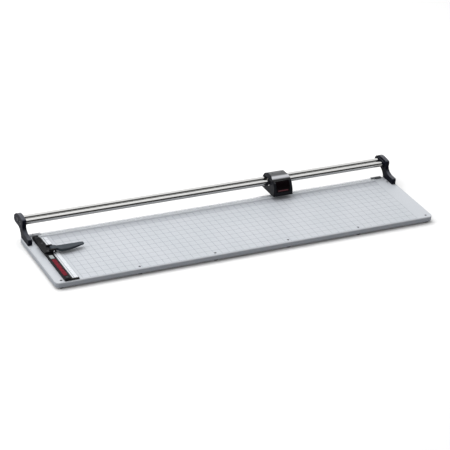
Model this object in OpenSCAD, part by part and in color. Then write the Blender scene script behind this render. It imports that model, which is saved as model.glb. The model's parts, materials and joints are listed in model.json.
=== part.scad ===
// Rotary paper trimmer: a long laminated board with twin steel rails behind its back edge.
// A sliding head carries a spring-loaded cutting wheel along a fixed blade.
// X runs along the rails, Y from the front edge to the back, Z up.
// The origin is on the supporting surface, below the middle of the whole trimmer.

/* [Board] */
// Length of the board along the rails
board_l = 1372; // [900:1:1600]
// Depth of the board from its front edge to the cutting edge
board_d = 311; // [300:1:340]
// Thickness of the middle layer of the board
core_t = 15.2; // [14:0.1:22]
// Thickness of each hard face sheet
laminate_t = 0.9; // [0.6:0.1:1.5]
// Thickness of the trim around the board's edge
trim_t = 2; // [1.5:0.1:3]
// Radius of the board's corners
board_corner_r = 15; // [6:1:24]
// Height of the board's underside above the supporting surface
foot_h = 6; // [5:0.5:12]
// Spacing of the through screws that hold the feet
screw_pitch = 265.8; // [150:0.1:266]
// Distance of the front screws from the front edge
screw_row_front = 15.5; // [14:0.5:30]
// Distance of the rear screws from the front edge
screw_row_rear = 269; // [262:0.5:280]

/* [Rails] */
// Diameter of each steel rail
rail_dia = 19.05; // [16:0.05:20]
// Height of the rails' axes above the board
rail_h = 45; // [44:0.5:60]
// Distance between the two rails' axes
rail_gap = 26; // [25.5:0.5:30]
// Distance from the cutting edge back to the front rail's axis
rail_back = 10.5; // [10:0.5:14]
// Width of each end bracket
bracket_w = 14; // [12:0.5:18]
// Distance of each bracket from the end of the board
bracket_inset = 2; // [1:0.5:10]

/* [Cutting] */
// Diameter of the cutting wheel
wheel_dia = 36; // [30:0.5:37]
// Thickness of the cutting wheel
wheel_t = 2; // [1.5:0.1:2.4]
// How far the wheel reaches below the fixed blade's edge
wheel_overlap = 3.5; // [2:0.1:5]
// Sideways gap between wheel and fixed blade
wheel_gap = 0.3; // [0.3:0.05:0.5]
// Thickness of the fixed blade
blade_t = 3; // [2:0.1:4]
// Height of the fixed blade
blade_h = 13; // [12:0.1:14]

/* [Cutting head] */
// Width of the head's cover along the rails
head_w = 74; // [66:1:90]
// Height of the head's cover top above the board
head_top = 74; // [74:1:90]
// Height of the cover's lower edge above the board
head_bottom = 12; // [11:0.5:16]
// Position of the head along the rails, from the middle
head_x = 251; // [-560:1:560]
// Wall thickness of the cover
cover_t = 2.5; // [2:0.1:3]

/* [Side guide] */
// Distance of the guide's outer side from the left end of the board
guide_x = 31; // [29:1:60]
// Height of the guide's rib above the board
guide_h = 10; // [8:0.5:10]
// Width of the white side clamp
clamp_w = 19; // [16:0.5:22]
// How far the side clamp rises when its lever is open
clamp_lift = 2.5; // [1.5:0.1:2.5]
// Length of the lever from its pin to its tip
lever_l = 107; // [80:1:140]

/* [Hidden] */

$fn = 64;
eps = 0.01;
arc_steps = 8;
large_arc_steps = 20;
large_arc_r = 25;

// Derived heights, measured from the board's top face
board_t = core_t + 2 * laminate_t;
ground_z = -(board_t + foot_h);
core_z0 = -(laminate_t + core_t);

// Derived depths, measured from the board's front edge
rail_y1 = board_d + rail_back;
rail_y2 = rail_y1 + rail_gap;
rail_r = rail_dia / 2;
head_back = rail_y2 + 16.5;
bracket_back = rail_y2 + 26.5;
overall_d = bracket_back;

// Steel bar behind the board that backs the blade, and flat steel strap under the board
bar_t = 3.5;
bar_y1 = board_d - blade_t;
bar_y0 = bar_y1 - bar_t;
strap_t = 2.5;
strap_y0 = board_d - 62;
blade_l = board_l - 68;
blade_screw_n = 13;
blade_screw_pitch = (blade_l - 100) / (blade_screw_n - 1);
blade_screw_xs = [for (i = [0:blade_screw_n - 1]) (i - (blade_screw_n - 1) / 2) * blade_screw_pitch];
blade_screw_z = -blade_h / 2;
blade_screw_r = 1.7;
blade_screw_head_r = 3.7;
blade_screw_l = 16;

// Through screws and feet
screw_xs = [for (i = [-2.5:1:2.5]) i * screw_pitch];
screw_r = 2;
screw_head_r = 4;
foot_r = 11;
nut_r = 4;
front_web = 2;
front_nut_h = 2.6;
rear_web = 1.3;
rear_nut_h = 1.6;

// Clear paper strip and its anchors
strip_y0 = board_d - 23;
strip_y1 = board_d - 2;
strip_z = 1.2;
strip_t = 1.5;
anchor_x0 = board_l / 2 - 68;
anchor_x1 = board_l / 2 - 27;
anchor_y = board_d - 6.4;
anchor_half_d = 4.6;
anchor_h = 4.4;
anchor_screw_x = anchor_x0 + 27;
anchor_screw_y = (bar_y0 + bar_y1) / 2;
anchor_screw_r = 1.25;
anchor_screw_head_r = 2.5;
anchor_screw_depth = 10;
strip_x1 = anchor_x0 + 12;
peg_x = anchor_x0 + 6;
peg_r = 1.8;

// End brackets
bracket_x = board_l / 2 - bracket_inset - bracket_w;
boss_w = 4;
boss_r = 13;
bracket_bolt_ys = [board_d - 54, board_d - 24];
bolt_r = 3;
bolt_reach = 13;
rail_socket = 4;
rail_l = 2 * (bracket_x + rail_socket);
end_screw_r = 3;
end_screw_head_r = 6;
end_screw_head_h = 5.5;
end_screw_l = 16;
socket_depth = 6;

// Side guide, its clamp and the lever
guide_left = -board_l / 2 + guide_x;
rib_w = 19;
flange_w = 27;
guide_y0 = 5;
guide_y1 = 284;
guide_screw_ys = [guide_y0 + 9, guide_y1 - 12];
guide_screw_depth = 11;
panel_ys = [23, 127];
panel_t = 0.5;
tab_t = 0.8;
tab_ys = [131, 152];
guide_screw_r = 2.1;
guide_screw_head_r = 4.1;
clamp_x0 = guide_left + 29;
clamp_y0 = 14;
clamp_y1 = 279;
clamp_z = 0.3;
clamp_t = 2;
clamp_ramp = 0.8;
post_x = clamp_x0 + clamp_w / 2;
post_ys = [32, 262];
post_r = 2;
post_low = -core_t + 2;
running_gap = 0.05;
hole_gap = 0.2;
loose_gap = 0.4;
pocket_r = 4.2;
pocket_depth = 9;
clamp_spring_r = 3.1;
clamp_spring_wire_r = 0.4;
lip_y = guide_y0 + 7;
lip_z = 4;
lever_x = guide_left + 30;
lever_z = 11.9;
lever_y0 = 177;
lever_y1 = 198;
cam_r = 7.5;
cam_start = 30;
lever_turn = 80;
cam_throw = clamp_lift / (cos(cam_start) - cos(cam_start + lever_turn));
hub_r = 6.5;
lever_pin_r = 2.5;
ear_t = 6;
ear_gap = 0.3;
lever_base_h = 5;
lever_base_front = 10;
lever_base_back = 34;
lever_screw_ys = [lever_y0 - 2, lever_y1 + 28];
lever_screw_r = 1.7;
lever_screw_head_r = 3.5;
lever_screw_l = 12;

// Cutting wheel group; the wheel turns on a sleeve that floats on the axle
wheel_r = wheel_dia / 2;
wheel_z = wheel_r - wheel_overlap;
wheel_y0 = board_d + wheel_gap;
wheel_y1 = wheel_y0 + wheel_t;
axle_r = 3;
sleeve_r = 5;
float_gap = 0.3;
hub_ring_r = 10;
hub_ring_t = 2;
hub_boss_r = 6.5;
hub_flange_r = 11;
hub_flange_t = 2.5;
hub_tail_r = 7;
hub_tail_l = 2.1;
hub_screw_circle = 8.3;
hub_screw_r = 1;
hub_screw_head_r = 1.6;
hub_screw_head_h = 0.9;
hub_screw_turns = [90, 210, 330];
axle_nut_corner_r = 5.77;
nut_y0 = board_d - 9.3;
nut_y1 = nut_y0 + 4.8;
washer_t = 1;
washer_r = 7.5;
sleeve_flange_r = 7;
sleeve_flange_t = 1.5;
spring_y0 = wheel_y1 + 6.6;
wheel_spring_r = 4.6;
wheel_spring_wire_r = 0.5;
spring_turns = 5;
lug_y0 = board_d + 19;
lug_y1 = lug_y0 + 16;
lug_half_w = 12;
fork_half_w = 9;

// Press roller that holds the paper strip down just ahead of the cut
roller_r = 7;
roller_y0 = board_d - 21.8;
roller_y1 = board_d - 13;
roller_z = strip_z + strip_t + 0.3 + roller_r;
roller_pin_r = 2;

// Head cover: its front face leans back by this much per millimetre and rounds over into the top
front_lean = 0.16;
front_y = board_d - 38.5;
front_round = 50;
back_round = 34;
end_round = 9;
end_slope = 3;
cover_screw_xs = [-18, 18];
cover_screw_y = head_back - back_round - 2;
cover_screw_r = 1.6;
cover_screw_head_r = 3.3;
side_boss = [rail_y1 - 18.5, rail_h + 9];
side_boss_r = 4;
side_screw_head_r = 3;
side_screw_head_h = 1.6;
cover_screw_l = 8;
side_screw_l = 10;
side_seat_x = head_w / 2 - end_slope - 0.2;
badge_half_w = 26;
badge_z = [24.5, 61];
badge_depth = 1.2;
badge_back_y = rail_y1 - 18;
badge_t = 0.6;

// Carriage inside the cover
body_w = 58;
body_z0 = rail_h - 13;
body_z1 = rail_h + 14;
apron_y = board_d - 25.4;
apron_t = 2.9;
bushing_r = 11;
bushing_l = 15;
rail_clearance = 0.8;

// ---- helpers ----

// Moves a piece from "board front edge, board top" to the shared origin
module placed() {
  translate([0, -overall_d / 2, -ground_z]) children();
}

// Cylinder along Y between two depths
module rod_y(r, y0, y1, x = 0, z = 0) {
  translate([x, y1, z]) rotate([90, 0, 0]) cylinder(h = y1 - y0, r = r);
}

// Cylinder along X between two places
module rod_x(r, x0, x1, y = 0, z = 0) {
  translate([x0, y, z]) rotate([0, 90, 0]) cylinder(h = x1 - x0, r = r);
}

// Box from its lowest to its highest corner
module block(lo, hi) {
  translate(lo) cube(hi - lo);
}

// Extrudes a (Y, Z) outline along X
module along_x(x0, x1) {
  translate([x0, 0, 0]) rotate([90, 0, 90]) linear_extrude(x1 - x0) children();
}

// Extrudes an (X, Z) outline along Y
module along_y(y0, y1) {
  translate([0, y1, 0]) rotate([90, 0, 0]) linear_extrude(y1 - y0) children();
}

function unit(v) = v / norm(v);

// Arc that rounds the corner b between a and c
function corner_arc(a, b, c, r) =
  let (u = unit(a - b), w = unit(c - b), half = acos(u * w) / 2)
  let (centre = b + unit(u + w) * r / sin(half))
  let (p0 = b + u * r / tan(half), p1 = b + w * r / tan(half))
  let (d0 = p0 - centre, d1 = p1 - centre, turn = acos(unit(d0) * unit(d1)))
  let (steps = r > large_arc_r ? large_arc_steps : arc_steps)
  [for (i = [0:steps]) let (t = i / steps)
    centre + (sin(turn * (1 - t)) * d0 + sin(turn * t) * d1) / sin(turn)];

// Outline from [x, y, radius] corners
function rounded(pts) = [
  for (i = [0:len(pts) - 1])
    let (n = len(pts), p = pts[i], a = pts[(i + n - 1) % n], c = pts[(i + 1) % n])
    each p[2] > 0
      ? corner_arc([a[0], a[1]], [p[0], p[1]], [c[0], c[1]], p[2])
      : [[p[0], p[1]]]
];

// Points of a cubic curve without its first point
function curve(a, b, c, d) = [
  for (i = [1:arc_steps]) let (t = i / arc_steps, s = 1 - t)
    s * s * s * a + 3 * s * s * t * b + 3 * s * t * t * c + t * t * t * d
];

// Countersunk screw with its head's face at z = 0 and its shank pointing down
module countersunk(r, head_r, l) {
  head_h = head_r - r;
  recess_r = r * 0.75;
  difference() {
    union() {
      translate([0, 0, -l]) cylinder(h = l - head_h, r = r);
      translate([0, 0, -head_h]) cylinder(h = head_h, r1 = r, r2 = head_r);
    }
    translate([0, 0, -head_h * 0.8]) cylinder(h = head_h, r = recess_r, $fn = 6);
  }
}

// Hole that a countersunk screw of the same sizes fits, open at z = 0
module countersink(r, head_r, l) {
  head_h = head_r - r;
  translate([0, 0, -l]) cylinder(h = l + eps, r = r);
  translate([0, 0, -head_h]) cylinder(h = head_h + eps, r1 = r, r2 = head_r + eps);
}

// Socket screw with a cylindrical head standing on z = 0
module socket_screw(r, l, head_r, head_h) {
  difference() {
    union() {
      translate([0, 0, -l]) cylinder(h = l + eps, r = r);
      cylinder(h = head_h, r = head_r);
    }
    translate([0, 0, head_h * 0.4]) cylinder(h = head_h, r = head_r * 0.5, $fn = 6);
  }
}

// Hexagon nut with a clear hole
module hex_nut(r_corner, h, hole_r) {
  difference() {
    cylinder(h = h, r = r_corner, $fn = 6);
    translate([0, 0, -eps]) cylinder(h = h + 2 * eps, r = hole_r);
  }
}

// Coil spring standing on z = 0: a wire swept along a helix
module coil_spring(mean_r, wire_r, h, turns) {
  sides = 6;
  steps = turns * 14;
  rise = h - 2 * wire_r;
  rings = [for (i = [0:steps]) let (a = 360 * turns * i / steps)
    for (k = [0:sides - 1]) let (b = 360 * k / sides, r = mean_r + wire_r * cos(b))
      [r * cos(a), r * sin(a), wire_r + rise * i / steps + wire_r * sin(b)]];
  walls = [for (i = [0:steps - 1]) for (k = [0:sides - 1])
    let (a = i * sides + k, b = i * sides + (k + 1) % sides)
      each [[a, b, b + sides], [a, b + sides, a + sides]]];
  first = [for (k = [sides - 1:-1:0]) k];
  last = [for (k = [0:sides - 1]) steps * sides + k];
  polyhedron(points = rings, faces = concat(walls, [first, last]));
}

// ---- board ----

// Plan of the board inside a margin, square across its back
module board_plan(margin) {
  half = board_l / 2 - margin;
  r = board_corner_r - margin;
  polygon(rounded([
    [-half, margin, r], [half, margin, r], [half, bar_y0, 0], [-half, bar_y0, 0]
  ]));
}

// Holes of the twelve board screws below their countersunk heads
module screw_holes() {
  for (x = screw_xs, y = [screw_row_front, screw_row_rear]) {
    translate([x, y, ground_z]) cylinder(h = -ground_z, r = screw_r + hole_gap);
    translate([x, y, 0]) countersink(screw_r, screw_head_r, 1);
  }
}

// Tapped holes of the two anchor screws
module anchor_holes() {
  for (side = [-1, 1])
    translate([side * anchor_screw_x, anchor_screw_y, -anchor_screw_depth])
      cylinder(h = anchor_screw_depth + 1, r = anchor_screw_r);
}

// Holes of the blade's screws
module blade_screw_holes() {
  for (x = blade_screw_xs)
    rod_y(blade_screw_r, board_d - blade_screw_l, board_d, x, blade_screw_z);
}

// Pilot holes of the guide's two screws
module guide_holes() {
  for (y = guide_screw_ys)
    translate([guide_left + rib_w / 2, y, -guide_screw_depth])
      cylinder(h = guide_screw_depth + 1, r = guide_screw_r);
}

// Holes of the four bracket bolts
module bracket_bolt_holes(r) {
  for (side = [-1, 1], y = bracket_bolt_ys)
    translate([side * (bracket_x + bracket_w / 2), y, ground_z]) cylinder(h = -ground_z + 1, r = r);
}

module baseboard_core() {
  color([0.62, 0.5, 0.36]) placed() difference() {
    translate([0, 0, core_z0]) linear_extrude(core_t) board_plan(trim_t);
    screw_holes();
    bracket_bolt_holes(bolt_r + hole_gap);
    blade_screw_holes();
    guide_holes();
    for (y = post_ys) {
      translate([post_x, y, -pocket_depth]) cylinder(h = pocket_depth, r = pocket_r);
      translate([post_x, y, -core_t + 1]) cylinder(h = core_t, r = post_r + running_gap);
    }
  }
}

module top_laminate() {
  color([0.8, 0.82, 0.84]) placed() difference() {
    union() {
      translate([0, 0, -laminate_t]) linear_extrude(laminate_t) board_plan(trim_t);
      block([-board_l / 2 + trim_t, bar_y0 - eps, -laminate_t], [board_l / 2 - trim_t, bar_y1, 0]);
    }
    screw_holes();
    bracket_bolt_holes(bolt_r + hole_gap);
    anchor_holes();
    guide_holes();
    for (y = post_ys) translate([post_x, y, -1]) cylinder(h = 2, r = pocket_r);
  }
}

module bottom_laminate() {
  color([0.45, 0.45, 0.46]) placed() difference() {
    translate([0, 0, -board_t]) linear_extrude(laminate_t) board_plan(trim_t);
    screw_holes();
    bracket_bolt_holes(bolt_r + hole_gap);
  }
}

module edge_trim() {
  color([0.36, 0.37, 0.4]) placed() translate([0, 0, -board_t]) linear_extrude(board_t) difference() {
    board_plan(0);
    board_plan(trim_t);
  }
}

// ---- fixed blade, its bar and the strap under the board ----

module blade_bar() {
  half = board_l / 2 - trim_t;
  color([0.55, 0.56, 0.58]) placed() difference() {
    block([-half, bar_y0, -board_t], [half, bar_y1, -laminate_t]);
    anchor_holes();
    blade_screw_holes();
  }
}

// Flat strap that carries the rear feet and takes the bracket bolts
module stiffener_strap() {
  half = board_l / 2 - trim_t;
  color([0.5, 0.51, 0.53]) placed() difference() {
    block([-half, strap_y0, -board_t - strap_t], [half, bar_y1, -board_t]);
    screw_holes();
    bracket_bolt_holes(bolt_r + hole_gap);
  }
}

module fixed_blade() {
  color([0.72, 0.73, 0.75]) placed() difference() {
    block([-blade_l / 2, bar_y1, -blade_h], [blade_l / 2, board_d, 0]);
    for (x = blade_screw_xs)
      translate([x, board_d, blade_screw_z]) rotate([-90, 0, 0])
        countersink(blade_screw_r, blade_screw_head_r, blade_t + 1);
  }
}

module blade_screws() {
  color([0.4, 0.4, 0.42]) placed()
    for (x = blade_screw_xs)
      translate([x, board_d, blade_screw_z]) rotate([-90, 0, 0])
        countersunk(blade_screw_r, blade_screw_head_r, blade_screw_l);
}

// ---- screws through the board, nuts and feet ----

module board_screws(y, l) {
  for (x = screw_xs) translate([x, y, 0]) countersunk(screw_r, screw_head_r, l);
}

module board_screws_front() {
  color([0.3, 0.3, 0.32]) placed()
    board_screws(screw_row_front, board_t + front_web + front_nut_h);
}

module board_screws_rear() {
  color([0.3, 0.3, 0.32]) placed()
    board_screws(screw_row_rear, board_t + strap_t + rear_web + rear_nut_h);
}

module board_nuts() {
  front_z = -board_t - front_web - front_nut_h;
  rear_z = -board_t - strap_t - rear_web - rear_nut_h;
  color([0.6, 0.6, 0.62]) placed()
    for (x = screw_xs) {
      translate([x, screw_row_front, front_z]) hex_nut(nut_r, front_nut_h, screw_r);
      translate([x, screw_row_rear, rear_z]) hex_nut(nut_r, rear_nut_h, screw_r);
    }
}

// Rubber foot: the screw goes through its web and the nut sits in a pocket from below
module foot(top_z, web) {
  chamfer = 1;
  h = top_z - ground_z;
  translate([0, 0, ground_z]) difference() {
    union() {
      cylinder(h = chamfer, r1 = foot_r - chamfer, r2 = foot_r);
      translate([0, 0, chamfer]) cylinder(h = h - chamfer, r = foot_r);
    }
    translate([0, 0, -1]) cylinder(h = h - web + 1, r = nut_r + 0.6);
    cylinder(h = h + 1, r = screw_r + hole_gap);
  }
}

module feet_front() {
  color([0.1, 0.1, 0.11]) placed()
    for (x = screw_xs) translate([x, screw_row_front, 0]) foot(-board_t, front_web);
}

module feet_rear() {
  color([0.1, 0.1, 0.11]) placed()
    for (x = screw_xs) translate([x, screw_row_rear, 0]) foot(-board_t - strap_t, rear_web);
}

// ---- clear paper strip ----

module paper_strip() {
  color([0.7, 0.75, 0.8, 0.4]) placed() difference() {
    block([-strip_x1, strip_y0, strip_z], [strip_x1, strip_y1, strip_z + strip_t]);
    for (side = [-1, 1]) translate([side * peg_x, anchor_y, 0]) cylinder(h = 4, r = peg_r + loose_gap);
  }
}

// Anchor block: its slot and peg hold the strip's end with room to rise and fall
module strip_anchor(side) {
  slot_z = strip_z + strip_t + 0.4;
  mirror([side < 0 ? 1 : 0, 0, 0]) difference() {
    union() {
      difference() {
        block(
          [anchor_x0, anchor_y - anchor_half_d, 0], [anchor_x1, anchor_y + anchor_half_d, anchor_h]
        );
        block(
          [anchor_x0 - 1, anchor_y - anchor_half_d - 1, -1],
          [strip_x1 + loose_gap, anchor_y + anchor_half_d + 1, slot_z]
        );
      }
      translate([peg_x, anchor_y, 0]) cylinder(h = slot_z + hole_gap, r = peg_r);
    }
    translate([anchor_screw_x, anchor_screw_y, anchor_h])
      countersink(anchor_screw_r, anchor_screw_head_r, anchor_h + 1);
  }
}

module strip_anchor_left() {
  color([0.7, 0.71, 0.73]) placed() strip_anchor(-1);
}

module strip_anchor_right() {
  color([0.12, 0.12, 0.13]) placed() strip_anchor(1);
}

module anchor_screws() {
  color([0.3, 0.3, 0.32]) placed()
    for (side = [-1, 1])
      translate([side * anchor_screw_x, anchor_screw_y, anchor_h])
        countersunk(anchor_screw_r, anchor_screw_head_r, anchor_h + anchor_screw_depth);
}

// ---- end brackets and rails ----

// Side view of a bracket: a flat foot, an S-shaped leg and a long head round both rails
module bracket_outline() {
  tip_y = board_d - 65;
  foot_top = 21;
  toe = [tip_y + 26, foot_top + 0.5];
  knee = [rail_y1 - 21, rail_h - 3];
  brow = [rail_y1 - 15.5, rail_h + 19];
  crown = [rail_y2 + 13.5, rail_h + 14];
  tail = [bracket_back, rail_h - 2.5];
  heel = [rail_y2 + 13.5, rail_h - 17];
  hollow = [rail_y2 - 7.5, rail_h - 17];
  root = [board_d - 4, 0];
  polygon(concat(
    [[tip_y + 1, 0], [tip_y, 1.5], [tip_y, foot_top - 4], [tip_y + 1.5, foot_top - 1.2]],
    [[tip_y + 5, foot_top], toe],
    curve(toe, toe + [14, 1.5], knee + [-2.5, -11], knee),
    curve(knee, knee + [1, 6], brow + [-11.5, -1.5], brow),
    curve(brow, brow + [16, 1], crown + [-16, 13], crown),
    curve(crown, crown + [6.5, -4.5], tail + [0, 7.5], tail),
    curve(tail, tail + [0, -8.5], heel + [9, 0], heel),
    [hollow],
    curve(hollow, hollow + [-18, 0], root + [4, 14], root)
  ));
}

module bracket(side) {
  outer = bracket_x + bracket_w;
  mirror([side < 0 ? 1 : 0, 0, 0]) difference() {
    union() {
      along_x(bracket_x, outer) bracket_outline();
      for (y = [rail_y1, rail_y2]) rod_x(boss_r, bracket_x - boss_w, bracket_x + eps, y, rail_h);
      block([bracket_x - boss_w, rail_y1, rail_h - boss_r], [bracket_x + eps, rail_y2, rail_h + boss_r]);
    }
    for (y = [rail_y1, rail_y2]) {
      rod_x(rail_r, bracket_x - boss_w - 1, rail_l / 2, y, rail_h);
      rod_x(end_screw_r + hole_gap, bracket_x, outer + 1, y, rail_h);
      rod_x(end_screw_head_r + hole_gap + loose_gap, outer - socket_depth, outer + 1, y, rail_h);
    }
    for (y = bracket_bolt_ys)
      translate([bracket_x + bracket_w / 2, y, -1]) cylinder(h = bolt_reach + 2, r = bolt_r);
  }
}

module bracket_left() {
  color([0.13, 0.14, 0.16]) placed() bracket(-1);
}

module bracket_right() {
  color([0.13, 0.14, 0.16]) placed() bracket(1);
}

// Bolts from below: hexagon heads under the strap
module bracket_bolts() {
  head_z = -board_t - strap_t;
  head_h = 2.8;
  head_r = 5.5;
  color([0.5, 0.5, 0.52]) placed()
    for (side = [-1, 1], y = bracket_bolt_ys)
      translate([side * (bracket_x + bracket_w / 2), y, head_z]) {
        cylinder(h = bolt_reach - head_z, r = bolt_r);
        translate([0, 0, -head_h]) cylinder(h = head_h, r = head_r, $fn = 6);
      }
}

// Bar with a tapped hole in each end
module rail(y) {
  tapped = end_screw_l - (bracket_w - socket_depth - rail_socket) + 2;
  difference() {
    rod_x(rail_r, -rail_l / 2, rail_l / 2, y, rail_h);
    for (side = [-1, 1])
      mirror([side < 0 ? 1 : 0, 0, 0])
        rod_x(end_screw_r, rail_l / 2 - tapped, rail_l / 2 + 1, y, rail_h);
  }
}

module rail_front() {
  color([0.82, 0.82, 0.83]) placed() rail(rail_y1);
}

module rail_rear() {
  color([0.82, 0.82, 0.83]) placed() rail(rail_y2);
}

module rail_end_screws() {
  outer = bracket_x + bracket_w;
  color([0.2, 0.2, 0.22]) placed()
    for (side = [-1, 1], y = [rail_y1, rail_y2])
      mirror([side < 0 ? 1 : 0, 0, 0])
        translate([outer - socket_depth, y, rail_h]) rotate([0, 90, 0])
          socket_screw(end_screw_r, end_screw_l, end_screw_head_r, end_screw_head_h);
}

// ---- side guide ----

module guide_bar() {
  x0 = guide_left;
  x1 = guide_left + rib_w;
  edge = 0.8;
  flange_t = 2.2;
  color([0.1, 0.1, 0.11]) placed() difference() {
    union() {
      along_y(guide_y0, guide_y1) polygon([
        [x0, 0], [x0 + flange_w, 0], [x0 + flange_w, flange_t], [x1 + 1, flange_t + 0.3],
        [x1, flange_t + 1.3], [x1, guide_h - edge], [x1 - edge, guide_h],
        [x0 + edge, guide_h], [x0, guide_h - edge]
      ]);
      block([x1 - 1, guide_y0, 0], [clamp_x0 + clamp_w, lip_y, lip_z]);
    }
    for (y = guide_screw_ys)
      translate([x0 + rib_w / 2, y, guide_h]) countersink(guide_screw_r, guide_screw_head_r, guide_h + 1);
    for (y = lever_screw_ys)
      translate([x0 + rib_w / 2, y, guide_h + lever_base_h])
        countersink(lever_screw_r, lever_screw_head_r, lever_screw_l);
  }
}

// Flat label with rounded corners on the guide's rib, between two depths
module guide_label(y0, y1, t, r) {
  margin = 3;
  x0 = guide_left + margin;
  x1 = guide_left + rib_w - margin;
  translate([0, 0, guide_h]) linear_extrude(t)
    polygon(rounded([[x0, y0, r], [x1, y0, r], [x1, y1, r], [x0, y1, r]]));
}

module guide_panel() {
  color([0.42, 0.06, 0.12]) placed() guide_label(panel_ys[0], panel_ys[1], panel_t, 1.5);
}

module guide_index_tab() {
  color([0.72, 0.78, 0.76]) placed() guide_label(tab_ys[0], tab_ys[1], tab_t, 2);
}

module guide_screws() {
  color([0.25, 0.25, 0.27]) placed()
    for (y = guide_screw_ys)
      translate([guide_left + rib_w / 2, y, guide_h])
        countersunk(guide_screw_r, guide_screw_head_r, guide_h + guide_screw_depth);
}

module side_clamp() {
  ramp = clamp_ramp;
  color([0.93, 0.93, 0.93]) placed() difference() {
    along_y(clamp_y0, clamp_y1) polygon([
      [clamp_x0, clamp_z], [clamp_x0 + clamp_w, clamp_z], [clamp_x0 + clamp_w, clamp_z + clamp_t - ramp],
      [clamp_x0 + clamp_w - ramp, clamp_z + clamp_t], [clamp_x0, clamp_z + clamp_t]
    ]);
    for (y = post_ys) translate([post_x, y, -1]) cylinder(h = 5, r = post_r);
  }
}

// Posts pressed into the clamp; they slide in the board's bores
module side_clamp_posts() {
  color([0.75, 0.75, 0.77]) placed()
    for (y = post_ys)
      translate([post_x, y, post_low]) cylinder(h = clamp_z + clamp_t - post_low, r = post_r);
}

module side_clamp_springs() {
  color([0.6, 0.6, 0.62]) placed()
    for (y = post_ys)
      translate([post_x, y, -pocket_depth + running_gap])
        coil_spring(clamp_spring_r, clamp_spring_wire_r, pocket_depth - 2 * running_gap, spring_turns);
}

// ---- clamp lever ----

module lever_bracket() {
  x0 = guide_left - 4;
  base_x1 = guide_left + rib_w + 1;
  ear_x0 = base_x1 - 6;
  ear_x1 = lever_x + 7.5;
  ear_low = 6.5;
  ear_high = lever_z + 7.5;
  color([0.09, 0.09, 0.11]) placed() difference() {
    union() {
      block(
        [x0, lever_y0 - lever_base_front, guide_h],
        [base_x1, lever_y1 + lever_base_back, guide_h + lever_base_h]
      );
      for (y = [lever_y0 - ear_gap - ear_t, lever_y1 + ear_gap])
        along_y(y, y + ear_t) polygon(rounded([
          [ear_x0, guide_h, 0], [base_x1, guide_h, 0], [base_x1 + 3, ear_low, 1], [ear_x1, ear_low, 4],
          [ear_x1, ear_high, 6], [ear_x0, ear_high, 4]
        ]));
    }
    rod_y(lever_pin_r, lever_y0 - 20, lever_y1 + 20, lever_x, lever_z);
    for (y = lever_screw_ys)
      translate([guide_left + rib_w / 2, y, guide_h + lever_base_h])
        countersink(lever_screw_r, lever_screw_head_r, lever_base_h + 1);
  }
}

module lever_bracket_screws() {
  color([0.3, 0.3, 0.32]) placed()
    for (y = lever_screw_ys)
      translate([guide_left + rib_w / 2, y, guide_h + lever_base_h])
        countersunk(lever_screw_r, lever_screw_head_r, lever_screw_l);
}

// Lever: a cam on the pin and a flat arm that lies across the side clamp
module clamp_lever() {
  tip = lever_x + lever_l;
  cam_x = lever_x + cam_throw * sin(cam_start);
  cam_z = lever_z - cam_throw * cos(cam_start);
  arm_y0 = lever_y0 - 10;
  color([0.2, 0.23, 0.26]) placed() difference() {
    union() {
      rod_y(hub_r, lever_y0, lever_y1, lever_x, lever_z);
      rod_y(cam_r, lever_y0, lever_y1, cam_x, cam_z);
      intersection() {
        along_y(arm_y0, lever_y1) polygon(rounded([
          [lever_x + 1, lever_z + 1, 0], [lever_x + 16, lever_z - 3.2, 4], [tip - 36, lever_z - 2.6, 30],
          [tip, lever_z + 1.4, 1.5], [tip, lever_z + 4.8, 1.5], [lever_x + 22, lever_z + 5.4, 6],
          [lever_x + 8, lever_z + 6.4, 6], [lever_x, lever_z + 6.4, 0]
        ]));
        linear_extrude(60) polygon(rounded([
          [lever_x - 2, lever_y0, 0], [lever_x + 13, lever_y0, 2], [lever_x + 24, arm_y0, 6],
          [lever_x + 44, arm_y0, 12], [tip, lever_y0 + 3, 6], [tip, lever_y1 - 5, 6],
          [lever_x + 15, lever_y1 - 4, 3], [lever_x + 12, lever_y1, 2], [lever_x - 2, lever_y1, 0]
        ]));
      }
    }
    rod_y(lever_pin_r + running_gap, lever_y0 - 5, lever_y1 + 1, lever_x, lever_z);
  }
}

module lever_pin() {
  color([0.7, 0.7, 0.72]) placed()
    rod_y(lever_pin_r, lever_y0 - ear_gap - ear_t, lever_y1 + ear_gap + ear_t, lever_x, lever_z);
}

// ---- cutting head ----

// Side view of the cover; inset moves every side but the bottom inwards
module cover_side(inset) {
  y0 = front_y + inset * norm([1, front_lean]);
  y1 = head_back - inset;
  top = head_top - inset;
  low = inset > 0 ? head_bottom - 1 : head_bottom;
  low_r = inset > 0 ? 0 : 2;
  polygon(rounded([
    [y0 + front_lean * (low - head_bottom), low, low_r],
    [y0 + front_lean * (top - head_bottom), top, front_round - inset],
    [y1, top, back_round - inset], [y1, low, low_r]
  ]));
}

// Front view of the cover, a little narrower at the top
module cover_front(inset) {
  half_low = head_w / 2 - inset;
  half_top = half_low - end_slope;
  low = inset > 0 ? head_bottom - 2 : head_bottom - 1;
  top = head_top - inset;
  polygon(rounded([
    [-half_low, low, 0], [half_low, low, 0],
    [half_top, top, end_round - inset], [-half_top, top, end_round - inset]
  ]));
}

module cover_solid(inset) {
  intersection() {
    along_x(-head_w / 2, head_w / 2) cover_side(inset);
    along_y(front_y - 5, head_back + 1) cover_front(inset);
  }
}

// What lies in front of the badge window, down to a depth below the cover's front face
module badge_window(margin, depth) {
  difference() {
    block(
      [-badge_half_w + margin, front_y - 1, badge_z[0] + margin],
      [badge_half_w - margin, badge_back_y, badge_z[1] - margin]
    );
    cover_solid(depth);
  }
}

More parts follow.
